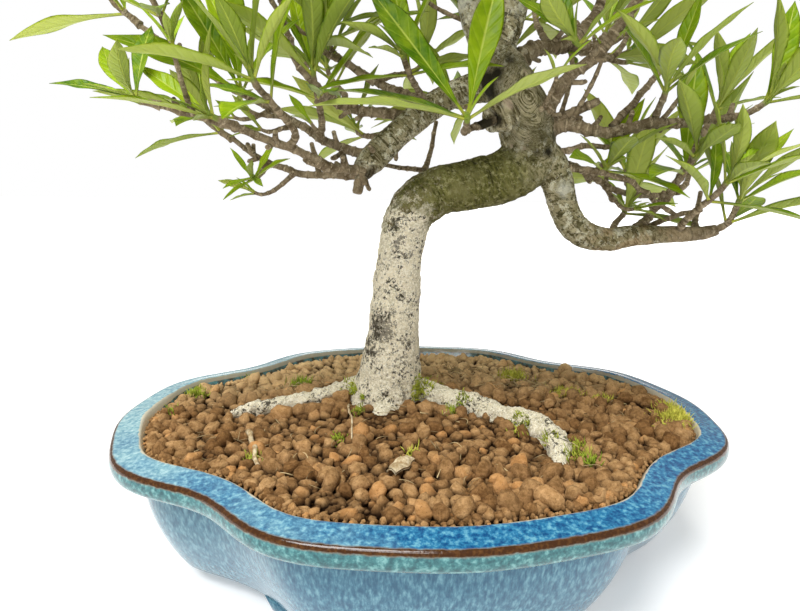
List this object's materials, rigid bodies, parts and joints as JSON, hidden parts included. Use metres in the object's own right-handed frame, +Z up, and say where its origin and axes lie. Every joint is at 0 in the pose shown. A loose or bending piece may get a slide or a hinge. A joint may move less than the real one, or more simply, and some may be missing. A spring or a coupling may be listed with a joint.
{
  "type": "gardenia bonsai",
  "caption": "Gardenia bonsai with a bent bare trunk and a spreading leafy crown in a four-lobed glazed pot filled with granular soil.",
  "frame": {"origin": "on the ground under the middle of the part's bounding box, which is the middle of the pot", "axes": "+X to the right of someone facing the front of the pot, along the pot's long side; +Y away from them; +Z up"},
  "size_m": [0.4057, 0.2643, 0.3918],
  "materials": {
    "glaze": "gloss",
    "akadama": "matte",
    "bark": "matte",
    "leaf": "satin"
  },
  "bodies": {
    "root": {"pot": "glaze", "soil": "akadama", "trunk": "bark", "spray_01": "leaf", "spray_02": "leaf", "spray_03": "leaf", "spray_04": "leaf", "spray_05": "leaf", "spray_06": "leaf", "spray_07": "leaf", "spray_08": "leaf", "spray_09": "leaf", "spray_10": "leaf", "spray_11": "leaf", "spray_12": "leaf", "spray_13": "leaf", "spray_14": "leaf", "spray_15": "leaf", "spray_16": "leaf", "spray_17": "leaf", "spray_18": "leaf", "spray_19": "leaf", "spray_20": "leaf", "spray_21": "leaf", "spray_22": "leaf", "spray_23": "leaf", "spray_24": "leaf", "spray_25": "leaf", "spray_26": "leaf", "spray_27": "leaf", "spray_28": "leaf", "spray_29": "leaf", "spray_30": "leaf", "spray_31": "leaf", "spray_32": "leaf", "spray_33": "leaf", "spray_34": "leaf", "spray_35": "leaf", "spray_36": "leaf", "spray_37": "leaf", "spray_38": "leaf", "spray_39": "leaf", "spray_40": "leaf", "spray_41": "leaf", "spray_42": "leaf", "spray_43": "leaf", "spray_44": "leaf", "spray_45": "leaf", "spray_46": "leaf", "spray_47": "leaf", "spray_48": "leaf", "spray_49": "leaf", "spray_50": "leaf"}
  },
  "joints": []
}
